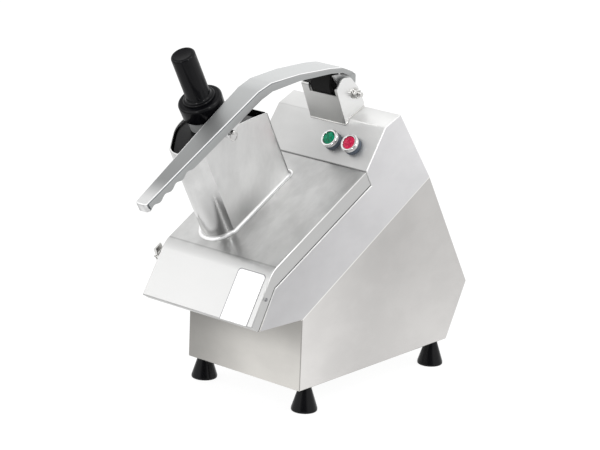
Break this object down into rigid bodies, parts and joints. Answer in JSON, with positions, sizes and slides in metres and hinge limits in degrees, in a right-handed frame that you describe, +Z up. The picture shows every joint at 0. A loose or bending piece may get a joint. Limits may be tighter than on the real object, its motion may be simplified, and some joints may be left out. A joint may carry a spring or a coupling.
{
  "type": "vegetable cutter",
  "caption": "Bench-top electric vegetable cutter with an inclined cutting head, a half-moon hopper, a press lever and a round feed pusher.",
  "frame": {"origin": "on the worktop, under the middle of the machine's bounding box", "axes": "+X to the right as the user faces the machine, +Y to its back, +Z up"},
  "size_m": [0.2484, 0.6487, 0.5535],
  "materials": {
    "brushed_steel": "brushed stainless sheet",
    "polished_casting": "polished",
    "cast_aluminium": "ground casting",
    "black_plastic": "moulded, gloss",
    "rubber": "matte",
    "dark_steel": "turned steel",
    "motor_paint": "painted",
    "bezel": "bright",
    "start_colour": "moulded, green",
    "stop_colour": "moulded, red"
  },
  "bodies": {
    "frame": {"housing": "brushed_steel", "cable_gland": "black_plastic", "bottom_plate": "brushed_steel", "foot_front_left": "rubber", "foot_front_right": "rubber", "foot_rear_left": "rubber", "foot_rear_right": "rubber", "foot_screw_front_left": "dark_steel", "foot_screw_front_right": "dark_steel", "foot_screw_rear_left": "dark_steel", "foot_screw_rear_right": "dark_steel", "lid": "brushed_steel", "hopper": "polished_casting", "lever_bracket": "brushed_steel", "bracket_screw_left": "dark_steel", "bracket_screw_right": "dark_steel", "lever_stop": "rubber", "pivot_bolt": "dark_steel", "pivot_nut": "brushed_steel", "pivot_washer": "brushed_steel", "start_collar": "black_plastic", "start_bezel": "bezel", "start_switch": "black_plastic", "stop_collar": "black_plastic", "stop_bezel": "bezel", "stop_switch": "black_plastic", "disc_chamber": "cast_aluminium", "upper_bearing": "dark_steel", "discharge_chute": "brushed_steel", "motor_deck": "brushed_steel", "bearing_carrier": "cast_aluminium", "lower_bearing": "dark_steel", "motor": "motor_paint", "drive_belt": "rubber", "control_box": "black_plastic", "lid_switch": "black_plastic", "latch_base": "brushed_steel", "latch_keeper": "brushed_steel"},
    "lever": {"lever": "cast_aluminium", "lever_pin": "cast_aluminium", "pin_ring": "brushed_steel"},
    "food_pusher": {"food_pusher": "black_plastic", "feed_tube": "cast_aluminium"},
    "round_pusher": {"round_pusher": "black_plastic"},
    "start_button": {"start_button": "start_colour"},
    "stop_button": {"stop_button": "stop_colour"},
    "cutting_spindle": {"cutting_disc": "brushed_steel", "blade_1": "polished_casting", "blade_2": "polished_casting", "blade_3": "polished_casting", "disc_nut": "dark_steel", "disc_hub": "cast_aluminium", "ejector_plate": "black_plastic", "drive_shaft": "dark_steel", "driven_pulley": "cast_aluminium"},
    "motor_rotor": {"motor_shaft": "dark_steel", "motor_pulley": "cast_aluminium"},
    "latch_lever": {"latch_lever": "cast_aluminium"},
    "latch_bail": {"latch_bail": "brushed_steel"}
  },
  "joints": [
    {"name": "lever_lift", "type": "hinge", "parent": "frame", "child": "lever", "pos_m": [0, 0.11337, 0.4583], "axis": [-1, 0, 0], "range_deg": [0, 65]},
    {"name": "pusher_tilt", "type": "hinge", "parent": "lever", "child": "food_pusher", "pos_m": [0, -0.14316, 0.43506], "axis": [1, 0, 0], "range_deg": [0, 1.5]},
    {"name": "round_pusher_slide", "type": "slide", "parent": "food_pusher", "child": "round_pusher", "axis": [0, -0.4772, 0.8788], "range_m": [0, 0.155]},
    {"name": "start_press", "type": "slide", "parent": "frame", "child": "start_button", "axis": [0, 0.8192, -0.5736], "range_m": [0, 0.004], "stiffness_N_per_m": 500, "springref_m": -0.002},
    {"name": "stop_press", "type": "slide", "parent": "frame", "child": "stop_button", "axis": [0, 0.8192, -0.5736], "range_m": [0, 0.004], "stiffness_N_per_m": 500, "springref_m": -0.002},
    {"name": "spindle_spin", "type": "hinge", "parent": "frame", "child": "cutting_spindle", "pos_m": [0, -0.04006, 0.30386], "axis": [0, -0.4772, 0.8788], "continuous": true},
    {"name": "motor_spin", "type": "hinge", "parent": "frame", "child": "motor_rotor", "pos_m": [0, 0.09791, 0.37877], "axis": [0, -0.4772, 0.8788], "continuous": true},
    {"name": "latch_open", "type": "hinge", "parent": "frame", "child": "latch_lever", "pos_m": [-0.11525, -0.15019, 0.21734], "axis": [0, -0.8695, -0.4939], "range_deg": [0, 100]},
    {"name": "bail_swing", "type": "hinge", "parent": "latch_lever", "child": "latch_bail", "pos_m": [-0.12024, -0.15253, 0.22146], "axis": [0, 0.8695, 0.4939], "range_deg": [0, 118]}
  ],
  "couplings": [
    {"joint": "motor_spin", "follows": "spindle_spin", "ratio": 2.5},
    {"joint": "bail_swing", "follows": "latch_open", "ratio": 1.15}
  ]
}
